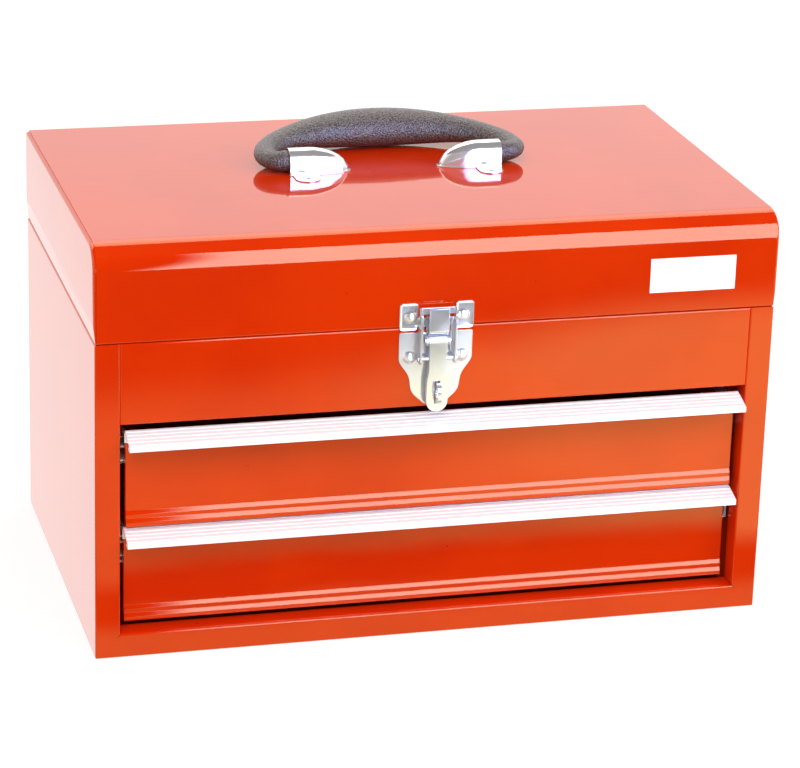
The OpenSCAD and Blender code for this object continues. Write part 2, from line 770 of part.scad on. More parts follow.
module drawer_tray(level) {
    z0 = front_z(level) + tray_inset;
    z1 = front_z(level) + front_h - tray_inset;
    y0 = drawer_y + sheet;
    inner_x = tray_x - sheet;
    color(paint) drawn_out(open_by(level)) difference() {
        along_y(y0, tray_y) translate([-tray_x, z0]) eased(2 * tray_x, z1 - z0, fold_r);
        translate([-inner_x, y0 + sheet, z0 + sheet])
            cube([2 * inner_x, tray_y - y0 - 2 * sheet, z1 - z0 - hem_h - sheet]);
        translate([-inner_x + sheet, y0 + 2 * sheet, z0 + sheet])
            cube([2 * (inner_x - sheet), tray_y - y0 - 4 * sheet, z1 - z0]);
        for (side = ["left", "right"], y = tray_rivet_y)
            on_side(side) translate([-tray_x - slide_t, y, slide_z(level)]) rotate([0, 90, 0])
                cylinder(r = rail_rivet_r, h = 2 * slide_t);
    }
}

// The (Y, Z) outline of a drawer front, grown inwards by t
module front_outline(z0, t) {
    y0 = drawer_y + t;
    y1 = y0 + front_return;
    top = z0 + front_h - t;
    slant = t * tan(atan2(step_d, step_slope) / 2);
    z1 = z0 + step_low - slant;
    z2 = z1 + step_slope;
    polygon([
        [y0 - 2 * step_d, z0 + t], [y0 - 2 * step_d, z1], [y0 - step_d, z2], [y0 - step_d, z2 + step_low],
        [y0, z2 + step_low + step_slope], [y0, top], [y1, top], [y1, z0 + t]]);
}

module drawer_front(level) {
    z0 = front_z(level);
    color(paint) drawn_out(open_by(level)) difference() {
        along_x(-drawer_x, drawer_x) front_outline(z0, 0);
        along_x(-drawer_x + sheet, drawer_x - sheet) front_outline(z0, sheet);
        for (x = [-drawer_x - small_cut, tray_x + rail_front_gap])
            translate([x, drawer_y + front_flange, z0 - small_cut])
                cube([drawer_x - tray_x, front_return, front_h + 2 * small_cut]);
    }
}

// The (Y, Z) section of a pull, measured from the top of the drawer front's face: a leg on that face,
// a leaf that falls back over its top, the ribbed face and the lip curled back under it
module pull_section() {
    face_l = norm([face_d, face_h]);
    back_fall = atan2(crest_z - pull_t, crest_y + leaf_y);
    lip_y = -crest_y - face_d;
    lip_top = crest_z - face_h;
    lip_low = lip_top - lip_h;
    leg_h = 3 * pull_t;
    outer = [
        [leaf_y, pull_t], [-crest_y, crest_z], [lip_y, lip_top], [lip_y, lip_low],
        [lip_y + lip_d, lip_low], [lip_y + lip_d, lip_low + lip_h / 2]];
    function under(y) = [y, crest_z - (y + crest_y) * tan(back_fall) - pull_t / cos(back_fall)];
    difference() {
        polygon(concat(
            outer, [for (i = [len(outer) - 1 : -1 : 1]) inner_pt(outer, i, pull_t)],
            [under(-pull_t), [-pull_t, -leg_h], [0, -leg_h], under(0), inner_pt(outer, 0, pull_t)]));
        for (k = [0 : grooves - 1])
            translate([-crest_y, crest_z]) rotate(180 + atan2(face_h, face_d))
                translate([face_l * (k + 0.5) / grooves, -small_cut]) square([groove_w, small_cut + groove_d]);
    }
}

module drawer_pull(level) {
    reach = drawer_x + pull_over;
    color("whitesmoke") drawn_out(open_by(level)) along_x(-reach, reach)
        translate([drawer_y, front_z(level) + front_h]) pull_section();
}

// ---------------------------------------------------------------- lid

module lid_shell() {
    color(paint) difference() {
        along_x(-shell_x, shell_x) folded([
            [lid_y - lid_return, lid_z], [lid_y, lid_z], [lid_y, lid_top, lid_back_r],
            [-lid_y, lid_top, lid_front_r], [-lid_y, lid_z], [-lid_y + lid_return, lid_z]]);
        at_keeper_rivets() latch_rivet_hole();
        cap_rivet_holes();
        hinge_rivet_holes(axis_z + leaf_clear + leaf_h / 2);
    }
}

// The (Y, Z) outline of an end panel, inset from the inside of the shell
module end_outline(inset) {
    y = lid_y - sheet - inset;
    top = lid_top - sheet - inset;
    front_r = lid_front_r - sheet - inset;
    back_r = max(lid_back_r - sheet - inset, fold_in);
    translate([-y, lid_z]) square([2 * y, top - lid_z - max(front_r, back_r)]);
    translate([-y + front_r, lid_z]) square([2 * y - front_r - back_r, top - lid_z]);
    translate([-y + front_r, top - front_r]) circle(front_r, $fn = 32);
    translate([y - back_r, top - back_r]) circle(back_r, $fn = 32);
    translate([y - back_r, lid_z]) square([back_r, top - back_r - lid_z]);
}

// An end panel, drawn for the left: its flanges lie inside the shell
module lid_end(side) {
    x0 = -box_w / 2;
    steps = 4;
    color(paint) on_side(side) difference() {
        hull() {
            for (k = [0 : steps])
                along_x(x0 + end_fold_r * (1 - sin(90 * k / steps)), x0 + end_flange)
                    end_outline(end_fold_r * (1 - cos(90 * k / steps)));
        }
        along_y(-lid_y - small_cut, lid_y + small_cut) polygon([
            [x0 - small_cut, lid_z - small_cut], [x0 - small_cut, lid_z + band_h], [x0, lid_z + band_h],
            [x0 + band_in, lid_z], [x0 + band_in, lid_z - small_cut]]);
        intersection() {
            along_x(x0 + sheet, x0 + end_flange + small_cut) end_outline(sheet);
            along_y(-lid_y, lid_y) polygon([
                [x0 + sheet, lid_top], [x0 + sheet, lid_z + band_h], [x0 + sheet + band_in, lid_z],
                [x0 + sheet + band_in, lid_z - small_cut], [x0 + 2 * end_flange, lid_z - small_cut],
                [x0 + 2 * end_flange, lid_top]]);
        }
        translate([-shell_x - fold_in, -lid_y, lid_z - small_cut])
            cube([end_flange, 2 * lid_y, small_cut + sheet + fold_in]);
    }
}

module name_label() {
    color("white") translate([box_w / 2 - label_side - label_w, -lid_y - label_t, lid_z + label_up])
        cube([label_w, label_t, label_h]);
}

// ---------------------------------------------------------------- hinge

function knuckle_x(k) = -hinge_l / 2 + k * knuckle_l + knuckle_gap / 2;

module hinge_rivet_xs() {
    for (k = [0 : hinge_rivets - 1]) translate([hinge_l * ((k + 0.5) / hinge_rivets - 0.5), 0, 0]) children();
}

module hinge_rivet_holes(z) {
    hinge_rivet_xs() translate([0, back_y - 2 * sheet, z]) facing_back() cylinder(r = shank_r, h = 6 * sheet);
}

module on_hinge_axis() translate([-hinge_l / 2, axis_y, axis_z]) rotate([0, 90, 0]) children();

// A leaf on the face at y: its plate, and the strips that join its own knuckles to the plate
module hinge_leaf(y, up, first) {
    plate_z = up ? axis_z + leaf_clear : axis_z - leaf_clear - leaf_h;
    strip_z = up ? axis_z : axis_z - leaf_clear;
    color(zinc) difference() {
        union() {
            translate([-hinge_l / 2, y, plate_z]) cube([hinge_l, leaf_t, leaf_h]);
            for (k = [first : 2 : knuckles - 1]) {
                translate([knuckle_x(k), y, strip_z]) cube([knuckle_l - knuckle_gap, leaf_t, leaf_clear]);
                translate([knuckle_x(k), y, axis_z - (up ? 0 : knuckle_r)])
                    cube([knuckle_l - knuckle_gap, axis_y - y - hinge_pin_r, knuckle_r]);
                translate([knuckle_x(k), axis_y, axis_z]) rotate([0, 90, 0])
                    cylinder(r = knuckle_r, h = knuckle_l - knuckle_gap);
            }
        }
        on_hinge_axis() cylinder(r = hinge_pin_r + pin_fit, h = hinge_l);
        hinge_rivet_holes(plate_z + leaf_h / 2);
    }
}

module hinge_lower_leaf() hinge_leaf(back_y, false, 0);
module hinge_upper_leaf() hinge_leaf(lid_y, true, 1);

module hinge_pin() {
    color(zinc) on_hinge_axis() cylinder(r = hinge_pin_r, h = hinge_l);
}

module hinge_lower_rivets() {
    color(zinc) hinge_rivet_xs() translate([0, back_y + leaf_t, axis_z - leaf_clear - leaf_h / 2])
        facing_back() rivet(small_r, small_h, leaf_t + sheet);
}

module hinge_upper_rivets() {
    color(zinc) hinge_rivet_xs() translate([0, lid_y + leaf_t, axis_z + leaf_clear + leaf_h / 2])
        facing_back() rivet(small_r, small_h, leaf_t + sheet);
}

// ---------------------------------------------------------------- latch

module at_base_rivets() {
    for (x = [latch_x - rivet_x, latch_x + rivet_x])
        translate([x, front_y, base_rivet_z]) facing_front() children();
}

module at_keeper_rivets() {
    for (x = [latch_x - rivet_x, latch_x + rivet_x])
        translate([x, -lid_y, keeper_rivet_z]) facing_front() children();
}

module latch_rivet_hole() translate([0, 0, -2 * sheet]) cylinder(r = shank_r, h = 2 * (sheet + plate_t));
module latch_rivet() translate([0, 0, plate_t]) rivet(rivet_r, rivet_h, plate_t + sheet);

module latch_base_rivets() color(nickel) at_base_rivets() latch_rivet();
module keeper_rivets() color(nickel) at_keeper_rivets() latch_rivet();

// A run along X across the latch, from a section in (out, Z)
module latch_run(x0, x1) {
    translate([latch_x, front_y, 0]) mirror([0, 1, 0]) along_x(x0, x1) children();
}

// The same section on both sides of the latch, from x outwards
module latch_pair(x, thickness) {
    latch_run(-x - thickness, -x) children();
    latch_run(x, x + thickness) children();
}

// A plate of the latch from its front outline, between two distances in front of the panel
module latch_plate(out0, out1) {
    translate([latch_x, front_y, 0]) along_y(-out1, -out0) children();
}

module on_lever_pin() translate([pin_out, lever_pin_z]) children();
module on_bail_pin() translate([pin_out, bail_pin_z]) children();

// The shield-shaped plate, with lugs for the lever's pin and the staple for a padlock
module latch_base_plate() {
    half = base_w / 2;
    waist = base_waist_w / 2;
    hip = base_hip_w / 2;
    foot = base_foot_w / 2;
    shoulder = base_top - shoulder_h;
    waist_z = shoulder - waist_h;
    hip_z = base_low + hip_h;
    staple_end = padlock_out + padlock_r + padlock_wall;
    color(nickel) difference() {
        union() {
            latch_plate(0, plate_t) polygon(rounded([
                [half, base_top, 1], [half, shoulder, 7], [waist, waist_z, 13],
                [hip, hip_z, 10], [foot, base_low, 4],
                [-foot, base_low, 4], [-hip, hip_z, 10], [-waist, waist_z, 13], [-half, shoulder, 7],
                [-half, base_top, 1]], 6));
            latch_pair(barrel_w / 2 + lug_gap, plate_t) {
                translate([0, lever_pin_z - barrel_r]) square([pin_out, 2 * barrel_r]);
                on_lever_pin() circle(barrel_r);
            }
            latch_run(-staple_t / 2, staple_t / 2) polygon(rounded([
                [0, staple_low], [staple_end, staple_low, staple_r],
                [staple_end, staple_top, staple_r], [0, staple_top]]));
        }
        latch_run(-base_w / 2, base_w / 2) on_lever_pin() circle(lever_pin_r);
        latch_run(-staple_t, staple_t) translate([padlock_out, staple_z]) circle(padlock_r);
        at_base_rivets() latch_rivet_hole();
    }
}

// A pin with a flat head at each end
module headed_pin(reach, r) {
    latch_run(-reach, reach) circle(r);
    latch_pair(reach, pin_head_t) circle(r + pin_head_rim);
}

module lever_pin() {
    reach = barrel_w / 2 + lug_gap + plate_t;
    color(nickel) translate([0, -pin_out, lever_pin_z]) headed_pin(reach, lever_pin_r);
}

// The front outline of the lever from the barrel down to the tab, inset by the thickness of its walls
module lever_outline(inset) {
    half = lever_w / 2 - inset;
    neck = neck_w / 2 - inset;
    top = lever_pin_z - plate_t;
    round_z = tab_z + lever_w / 2;
    polygon([
        [-neck, top], [neck, top], [neck, neck_low], [half, flare_low], [half, round_z],
        [-half, round_z], [-half, flare_low], [-neck, neck_low]]);
    translate([0, round_z]) circle(half);
}

module latch_lever() {
    wall_low = slot_low - plate_t;
    color(nickel) difference() {
        union() {
            latch_plate(web_out - plate_t, web_out) lever_outline(0);
            intersection() {
                latch_plate(wall_out, web_out) difference() {
                    lever_outline(0);
                    lever_outline(plate_t);
                }
                latch_run(-lever_w, lever_w) polygon([
                    [wall_out, lever_pin_z], [wall_out, slot_top], [web_out - plate_t, wall_low],
                    [web_out, wall_low], [web_out, lever_pin_z]]);
            }
            latch_run(-barrel_w / 2, barrel_w / 2) on_lever_pin() circle(barrel_r);
        }
        latch_run(-lever_w, lever_w) on_lever_pin() circle(lever_pin_r + pin_fit);
        latch_run(-lever_w, lever_w) on_bail_pin() circle(bail_pin_r);
        latch_plate(wall_out - small_cut, web_out + small_cut)
            translate([-slot_w / 2, slot_low]) square([slot_w, slot_h]);
    }
}

module bail_pin() {
    color(nickel) translate([0, -pin_out, bail_pin_z]) headed_pin(bail_w / 2 + pin_fit, bail_pin_r);
}

// The (out, Z) outline of a bail arm, round at its foot and narrow at the crosspiece
module bail_arm() {
    back = cross_out - bail_t / 2;
    on_bail_pin() circle(bail_foot_r);
    polygon([
        [bail_back, bail_pin_z], [bail_back, cross_low - bail_taper], [back, cross_low], [back, cross_top],
        [back + bail_t, cross_top], [pin_out + bail_foot_r, cross_low], [pin_out + bail_foot_r, bail_pin_z]]);
}

// The (out, Z) section of the flange along the back of a bail arm
module bail_flange_run() {
    low = bail_pin_z + bail_foot_r;
    translate([bail_back, low]) square([bail_t, cross_low - bail_taper - low]);
}

module latch_bail() {
    color(nickel) difference() {
        union() {
            latch_pair(bail_w / 2 - bail_t, bail_t) bail_arm();
            latch_pair(bail_w / 2 - bail_flange, bail_flange) bail_flange_run();
            latch_run(-bail_w / 2, bail_w / 2)
                translate([cross_out - bail_t / 2, cross_low]) square([bail_t, cross_h]);
        }
        latch_run(-bail_w, bail_w) on_bail_pin() circle(bail_pin_r + pin_fit);
    }
}

// The keeper: two riveted wings joined under the bail, and the hook that holds its crosspiece
module latch_keeper() {
    face = lid_proud;
    hook_low = lid_z - hook_down;
    hook_top = shelf_z + hook_lip;
    color(nickel) difference() {
        union() {
            for (side = [-1, 1])
                latch_plate(face, face + plate_t) translate([side * (wing_in + keeper_w / 2) / 2, lid_z - keeper_over])
                    wing_outline(keeper_w / 2 - wing_in, keeper_h, wing_r);
            latch_plate(face, face + plate_t)
                translate([-wing_in - wing_r, lid_z]) square([2 * (wing_in + wing_r), bridge_h]);
            latch_run(-hook_w / 2, hook_w / 2) {
                folded([[face, hook_low], [hook_out, hook_low, hook_r], [hook_out, hook_top]], hook_t);
                translate([face, shelf_z - plate_t]) square([hook_out - hook_t / 2 - face, plate_t]);
                translate([face, hook_low]) square([plate_t, shelf_z - hook_low]);
            }
        }
        at_keeper_rivets() latch_rivet_hole();
    }
}

module wing_outline(w, h, r) {
    translate([-w / 2 + r, 0]) square([w - 2 * r, h]);
    translate([-w / 2, r]) square([w, h - 2 * r]);
    for (x = [-1, 1], z = [r, h - r]) translate([x * (w / 2 - r), z]) circle(r);
}

// ---------------------------------------------------------------- handle

// The curved part of a cap's outline: distance from the open end, and half-width
function cap_curve(r, l, steps = 14) =
    [for (k = [0 : steps]) [cap_flat + (l - cap_flat) * sin(90 * k / steps), r * cos(90 * k / steps)]];

module at_cap(side) {
    translate([handle_x, 0, 0]) on_side(side) translate([-cap_open, handle_y, lid_top]) children();
}

// The solid of a cap, drawn for the left: half-round over upright walls, and falling to its tip
module cap_solid(r, l, back = 0) {
    top = pivot_h + r;
    arc = [for (a = [0, 20, 40, 60, 75, 87]) [pivot_h + r * sin(a), r * cos(a)]];
    levels = concat([[0.4 * pivot_h, r]], arc);
    hull() {
        for (level = levels)
            along_z(-back, level[0]) cap_plan(level[1], mix(cap_flat, l, sqrt(1 - pow(level[0] / top, 2))), back);
    }
}

module cap_plan(r, l, back = 0) {
    half = concat([[-back, r]], cap_curve(r, l));
    tip = len(half) - 1;
    polygon(concat(half, [for (k = [tip - 1 : -1 : 0]) [half[k][0], -half[k][1]]]));
}

module cap_ears() {
    for (y = [-ear_y, ear_y]) translate([ear_x, y]) {
        circle(ear_r);
        translate([-ear_r, y > 0 ? -ear_r : 0]) square([2 * ear_r, ear_r]);
    }
}

module handle_cap(side) {
    color(nickel) at_cap(side) difference() {
        union() {
            cap_solid(cap_r, cap_l);
            along_z(0, cap_t) {
                cap_plan(cap_r + brim_w, cap_l + brim_w);
                cap_ears();
            }
        }
        cap_solid(cap_r - cap_t, cap_l - cap_t, small_cut);
        for (y = [-ear_y, ear_y]) translate([ear_x, y, -small_cut]) cylinder(r = shank_r, h = 4 * small_cut);
    }
}

module cap_rivet_holes() {
    for (side = ["left", "right"], y = [-ear_y, ear_y])
        at_cap(side) translate([ear_x, y, -2 * sheet]) cylinder(r = shank_r, h = 4 * sheet);
}

module handle_cap_rivets() {
    color(nickel) for (side = ["left", "right"], y = [-ear_y, ear_y])
        at_cap(side) translate([ear_x, y, cap_t]) rivet(small_r, small_h, cap_t + sheet);
}

function tangent(i) = i == 0 || i == len(line) - 1 ? [-1, 0] : unit(xy(line[i + 1]) - xy(line[i - 1]));
function ring(i) = let (s = line[i], t = tangent(i), n = [-t[1], t[0]])
    [for (k = [0 : ring_n - 1]) let (c = s[2] * cos(360 * k / ring_n))
        [s[0] + n[0] * c, s[1] + n[1] * c, s[3] * sin(360 * k / ring_n)]];

// The two triangles between a pair of neighbours on one ring and the same pair on the next
function ring_cell(a, b) = [[a, a + ring_n, b + ring_n], [a, b + ring_n, b]];

// The grip and its arms, as rings round the centre line
module swept_grip() {
    last = len(line) - 1;
    polyhedron(
        points = [for (i = [0 : last]) each ring(i)],
        faces = concat(
            [[for (k = [0 : ring_n - 1]) k]],
            [[for (k = [ring_n - 1 : -1 : 0]) last * ring_n + k]],
            [for (i = [0 : last - 1], k = [0 : ring_n - 1])
                each ring_cell(i * ring_n + k, i * ring_n + (k + 1) % ring_n)]));
}

module handle_grip() {
    color("dimgray") translate([handle_x, handle_y, pivot_z]) rotate([handle_tilt, 0, 0]) {
        swept_grip();
        for (side = [-1, 1]) translate([side * (elbow_x - stub_in / 2), 0, 0]) rotate([0, 90, 0])
            cylinder(r = stub_r, h = stub_in + small_cut, center = true);
    }
}

// ---------------------------------------------------------------- the pieces

cabinet_wrap();
back_panel();
upper_front_panel();
compartment_floor();
slide_post("left", post_y[0]);  // left_front_slide_post
slide_post("left", post_y[1]);  // left_rear_slide_post
slide_post("right", post_y[0]);  // right_front_slide_post
slide_post("right", post_y[1]);  // right_rear_slide_post
outer_rail("left", 1);  // upper_left_outer_rail
outer_rail("right", 1);  // upper_right_outer_rail
outer_rail("left", 0);  // lower_left_outer_rail
outer_rail("right", 0);  // lower_right_outer_rail
outer_rail_rivets();
latch_base_plate();
latch_base_rivets();
lever_pin();
hinge_lower_leaf();
hinge_pin();
hinge_lower_rivets();
lid_shell();
lid_end("left");  // lid_left_end
lid_end("right");  // lid_right_end
hinge_upper_leaf();
hinge_upper_rivets();
latch_keeper();
keeper_rivets();
handle_cap("left");  // left_handle_cap
handle_cap("right");  // right_handle_cap
handle_cap_rivets();
name_label();
handle_grip();
latch_lever();
bail_pin();
latch_bail();
drawer_tray(1);  // upper_drawer_tray
drawer_front(1);  // upper_drawer_front
drawer_pull(1);  // upper_drawer_pull
inner_rail("left", 1);  // upper_left_inner_rail
inner_rail("right", 1);  // upper_right_inner_rail
inner_rail_rivets(1);  // upper_inner_rail_rivets
ball_cage("left", 1);  // upper_left_ball_cage
ball_cage("right", 1);  // upper_right_ball_cage
slide_balls(1);  // upper_slide_balls
drawer_tray(0);  // lower_drawer_tray
drawer_front(0);  // lower_drawer_front
drawer_pull(0);  // lower_drawer_pull
inner_rail("left", 0);  // lower_left_inner_rail
inner_rail("right", 0);  // lower_right_inner_rail
inner_rail_rivets(0);  // lower_inner_rail_rivets
ball_cage("left", 0);  // lower_left_ball_cage
ball_cage("right", 0);  // lower_right_ball_cage
slide_balls(0);  // lower_slide_balls
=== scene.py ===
import json
import math

import bmesh
import bpy
from mathutils import Euler, Matrix, Vector

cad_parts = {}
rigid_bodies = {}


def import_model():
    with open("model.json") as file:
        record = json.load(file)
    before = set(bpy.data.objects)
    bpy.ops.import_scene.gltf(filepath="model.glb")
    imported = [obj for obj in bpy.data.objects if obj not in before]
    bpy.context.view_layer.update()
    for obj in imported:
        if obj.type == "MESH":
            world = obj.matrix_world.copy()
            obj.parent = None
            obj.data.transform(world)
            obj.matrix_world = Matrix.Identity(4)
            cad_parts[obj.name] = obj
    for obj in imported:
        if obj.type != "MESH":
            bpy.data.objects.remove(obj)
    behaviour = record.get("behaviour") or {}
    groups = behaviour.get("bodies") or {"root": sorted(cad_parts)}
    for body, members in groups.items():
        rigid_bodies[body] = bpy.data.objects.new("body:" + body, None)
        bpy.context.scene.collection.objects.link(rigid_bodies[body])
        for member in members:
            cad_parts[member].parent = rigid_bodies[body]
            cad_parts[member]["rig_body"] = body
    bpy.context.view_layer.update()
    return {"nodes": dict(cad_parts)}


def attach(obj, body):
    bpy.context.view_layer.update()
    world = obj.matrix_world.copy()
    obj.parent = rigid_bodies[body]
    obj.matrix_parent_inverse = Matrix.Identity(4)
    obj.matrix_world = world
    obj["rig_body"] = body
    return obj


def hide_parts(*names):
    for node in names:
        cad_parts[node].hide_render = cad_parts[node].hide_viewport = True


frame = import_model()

MM = 0.001
FRONT_Y = -0.1245
DOUBLES = 0.002 * MM
FLAT_TURN = 0.3
FLOOR_DROP = 0.5 * MM
CARD_Y = -0.95

# ---------------------------------------------------------------- shader building


class Value:
    """A shader socket. Arithmetic on it adds the Math nodes that do it."""

    def __init__(self, finish, socket):
        self.finish = finish
        self.socket = socket

    def math(self, operation, *others):
        values = dict(enumerate((self,) + others))
        return self.finish.value("ShaderNodeMath", {"operation": operation}, values)

    def __add__(self, other):
        return self.math("ADD", other)

    def __sub__(self, other):
        return self.math("SUBTRACT", other)

    def __mul__(self, other):
        return self.math("MULTIPLY", other)

    def __rsub__(self, other):
        values = {0: other, 1: self}
        return self.finish.value("ShaderNodeMath", {"operation": "SUBTRACT"}, values)

    __radd__ = __add__
    __rmul__ = __mul__

    def ramp(self, low, high, to_low=0.0, to_high=1.0):
        """Runs smoothly from to_low at low to to_high at high."""
        settings = {"interpolation_type": "SMOOTHSTEP"}
        values = {"Value": self, "From Min": low, "From Max": high, "To Min": to_low, "To Max": to_high}
        return self.finish.value("ShaderNodeMapRange", settings, values)

    def larger(self, other):
        return self.math("MAXIMUM", other)


class Finish:
    """A node tree of a material or the world."""

    def __init__(self, tree, shader, output):
        self.tree = tree
        tree.nodes.clear()
        self.output = self.node(output)
        self.shader = self.node(shader) if shader else None
        if shader:
            self.link(self.shader.outputs[0], self.output.inputs["Surface"])

    def link(self, source, target):
        self.tree.links.new(source, target)

    def feed(self, node, name, value):
        target = node.inputs[name]
        if isinstance(value, Value):
            self.link(value.socket, target)
        elif isinstance(value, bpy.types.NodeSocket):
            self.link(value, target)
        else:
            target.default_value = value

    def node(self, kind, settings=None, values=None):
        made = self.tree.nodes.new(kind)
        for name, setting in (settings or {}).items():
            setattr(made, name, setting)
        for name, value in (values or {}).items():
            self.feed(made, name, value)
        return made

    def value(self, kind, settings=None, values=None):
        return Value(self, self.node(kind, settings, values).outputs[0])

    def set(self, **values):
        for name, value in values.items():
            self.feed(self.shader, name.replace("_", " "), value)

    def place(self, scale=(1, 1, 1)):
        """The place on the piece in metres, stretched by scale."""
        at = self.node("ShaderNodeTexCoord").outputs["Object"]
        return self.value("ShaderNodeMapping", None, {"Vector": at, "Scale": scale})

    def noise(self, scale, detail=2.0, roughness=0.5, stretch=(1, 1, 1)):
        values = {"Vector": self.place(stretch), "Scale": scale, "Detail": detail, "Roughness": roughness}
        return self.value("ShaderNodeTexNoise", None, values)

    def cells(self, scale):
        values = {"Vector": self.place(), "Scale": scale}
        return self.value("ShaderNodeTexVoronoi", {"feature": "F1"}, values)

    def blend(self, factor, first, second):
        settings = {"data_type": "RGBA", "clamp_factor": True}
        mixed = self.node("ShaderNodeMix", settings)
        self.feed(mixed, 0, factor)
        for slot, colour in ((6, first), (7, second)):
            if isinstance(colour, tuple):
                colour = (*colour, 1)
            self.feed(mixed, slot, colour)
        return Value(self, mixed.outputs[2])

    def relief(self, height, depth, normal=None):
        """A bump of that depth in metres."""
        values = {"Strength": 1.0, "Distance": depth, "Height": height}
        if normal is not None:
            values["Normal"] = normal
        return self.value("ShaderNodeBump", None, values)


def surface(name):
    material = bpy.data.materials.new(name)
    material.use_nodes = True
    return material, Finish(material.node_tree, "ShaderNodeBsdfPrincipled", "ShaderNodeOutputMaterial")


# ---------------------------------------------------------------- finishes


def red_enamel():
    material, paint = surface("red_enamel")
    cloud = paint.noise(9, 3, 0.55)
    colour = paint.blend(cloud.ramp(0.35, 0.65), (0.66, 0.026, 0.001), (0.72, 0.034, 0.001))
    speck = paint.cells(140).ramp(0.05, 0.07)
    rare = paint.noise(60, 1).ramp(0.66, 0.68)
    colour = paint.blend((1 - speck) * rare, colour, (0.10, 0.012, 0.004))
    wave = paint.relief(paint.noise(22, 2, 0.45), 0.000012)
    peel = paint.relief(paint.noise(700, 2), 0.000003, wave)
    paint.set(Base_Color=colour, Normal=peel, IOR=1.5, Specular_Tint=(1.0, 0.97, 0.43, 1))
    paint.set(Roughness=paint.noise(40, 2).ramp(0.3, 0.7, 0.02, 0.06))
    return material


def nickel_plate():
    material, plate = surface("nickel_plate")
    cloud = plate.noise(60, 3)
    colour = plate.blend(cloud, (0.66, 0.65, 0.645), (0.80, 0.79, 0.785))
    swirl = plate.noise(300, 3, 0.6)
    rough = cloud.ramp(0.3, 0.7, 0.09, 0.17)
    fine = plate.relief(plate.noise(900, 2), 0.000004, plate.relief(swirl, 0.00002))
    plate.set(Base_Color=colour, Metallic=0.68, Roughness=rough, Normal=fine)
    return material


def pull_aluminium():
    material, pull = surface("pull_aluminium")
    draw = pull.noise(60, 3, 0.6, (0.004, 14, 14))
    colour = pull.blend(draw, (0.90, 0.90, 0.90), (0.95, 0.95, 0.95))
    fine = pull.relief(draw, 0.000004)
    pull.set(Base_Color=colour, Metallic=0.1, Roughness=draw.ramp(0.3, 0.7, 0.34, 0.46), Normal=fine)
    return material


def handle_plastic():
    material, grip = surface("handle_plastic")
    cells = grip.cells(900)
    fold = grip.noise(900, 2, 0.6)
    height = cells * 0.7 + fold
    colour = grip.blend(height.ramp(0.6, 1.0), (0.026, 0.018, 0.015), (0.135, 0.104, 0.092))
    grain = grip.relief(height, 0.0005)
    grip.set(Base_Color=colour, Roughness=fold.ramp(0.3, 0.7, 0.34, 0.48), Normal=grain)
    return material


def label_plastic():
    material, label = surface("label_plastic")
    cloud = label.noise(80, 2)
    colour = label.blend(cloud, (0.88, 0.88, 0.87), (0.93, 0.93, 0.93))
    label.set(Base_Color=colour, Roughness=cloud.ramp(0.3, 0.7, 0.3, 0.42))
    return material


def zinc_steel():
    material, zinc = surface("zinc_steel")
    flake = zinc.cells(120)
    colour = zinc.blend(flake, (0.72, 0.74, 0.76), (0.84, 0.86, 0.88))
    rough = zinc.noise(90, 3).ramp(0.3, 0.7, 0.26, 0.42)
    fine = zinc.relief(zinc.noise(500, 2), 0.00001)
    zinc.set(Base_Color=colour, Metallic=0.45, Roughness=rough, Normal=fine)
    return material


def cage_steel():
    material, cage = surface("cage_steel")
    cloud = cage.noise(110, 3)
    colour = cage.blend(cloud, (0.60, 0.42, 0.16), (0.72, 0.58, 0.30))
    cage.set(Base_Color=colour, Metallic=1.0, Roughness=cloud.ramp(0.3, 0.7, 0.25, 0.4))
    return material


def ball_steel():
    material, ball = surface("ball_steel")
    smear = ball.noise(700, 2)
    colour = ball.blend(smear, (0.72, 0.72, 0.73), (0.80, 0.80, 0.81))
    ball.set(Base_Color=colour, Metallic=1.0, Roughness=smear.ramp(0.3, 0.7, 0.06, 0.16))
    return material


FINISHES = {
    "red_enamel": red_enamel(), "nickel_plate": nickel_plate(), "pull_aluminium": pull_aluminium(),
    "handle_plastic": handle_plastic(), "label_plastic": label_plastic(), "zinc_steel": zinc_steel(),
    "cage_steel": cage_steel(), "ball_steel": ball_steel(),
}

PAINTED = [
    "cabinet_wrap", "back_panel", "upper_front_panel", "compartment_floor",
    "left_front_slide_post", "left_rear_slide_post", "right_front_slide_post", "right_rear_slide_post",
    "lid_shell", "lid_left_end", "lid_right_end",
    "upper_drawer_tray", "upper_drawer_front", "lower_drawer_tray", "lower_drawer_front",
]
PLATED = [
    "latch_base_plate", "latch_base_rivets", "lever_pin", "latch_keeper", "keeper_rivets",
    "left_handle_cap", "right_handle_cap", "handle_cap_rivets", "latch_lever", "bail_pin", "latch_bail",
]


def slot_of(node):
    if node in PAINTED:
        return "red_enamel"
    if node in PLATED:
        return "nickel_plate"
    if node.endswith("_pull"):
        return "pull_aluminium"
    if node == "handle_grip":
        return "handle_plastic"
    if node == "name_label":
        return "label_plastic"
    if node.endswith("_cage"):
        return "cage_steel"
    if node.endswith("_balls"):
        return "ball_steel"
    return "zinc_steel"


# ---------------------------------------------------------------- pieces


def place_mesh(name, shape, material):
    """Makes an object of the mesh and frees the mesh that it was shaped in."""
    mesh = bpy.data.meshes.new(name)
    shape.to_mesh(mesh)
    shape.free()
    mesh.materials.append(material)
    thing = bpy.data.objects.new(name, mesh)
    bpy.context.scene.collection.objects.link(thing)
    return thing


def finish_piece(node, shape):
    """Gives a node's finer shape its finish and lets it ride its body in the node's place."""
    slot = slot_of(node)
    piece = place_mesh(node + "_piece", shape, FINISHES[slot])
    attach(piece, frame["nodes"][node]["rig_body"])
    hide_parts(node)
    return piece


